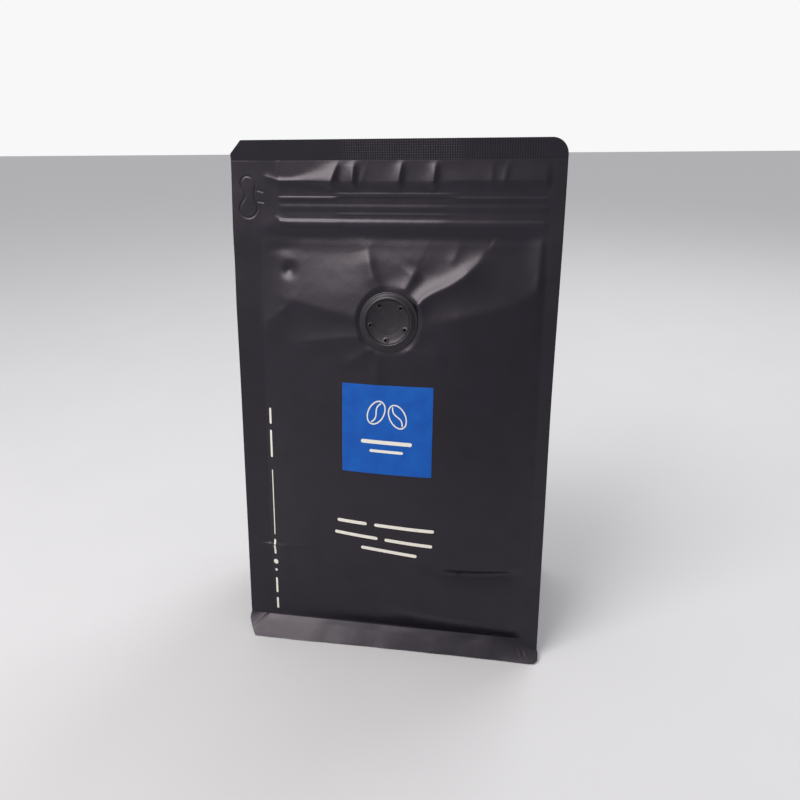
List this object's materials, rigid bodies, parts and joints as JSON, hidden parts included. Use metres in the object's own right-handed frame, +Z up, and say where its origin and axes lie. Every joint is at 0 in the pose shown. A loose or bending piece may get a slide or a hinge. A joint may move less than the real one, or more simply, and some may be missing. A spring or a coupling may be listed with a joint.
{
  "type": "coffee bag",
  "caption": "Shut flat-bottom coffee pouch with side gussets, corner seams, press-to-close strip, degassing valve and a square label, standing filled.",
  "frame": {"origin": "middle of the bottom, on the surface the bag stands on", "axes": "+Z up to the top seal, +X to the right along the front, front facing -Y"},
  "size_m": [0.13, 0.0755, 0.2085],
  "materials": {
    "film": "matt laminate film, black, softly creased",
    "valve_plastic": "satin moulded plastic, black",
    "label": "satin printed film, blue"
  },
  "bodies": {
    "root": {"pouch": "film", "valve": "valve_plastic", "label": "label"}
  },
  "joints": []
}
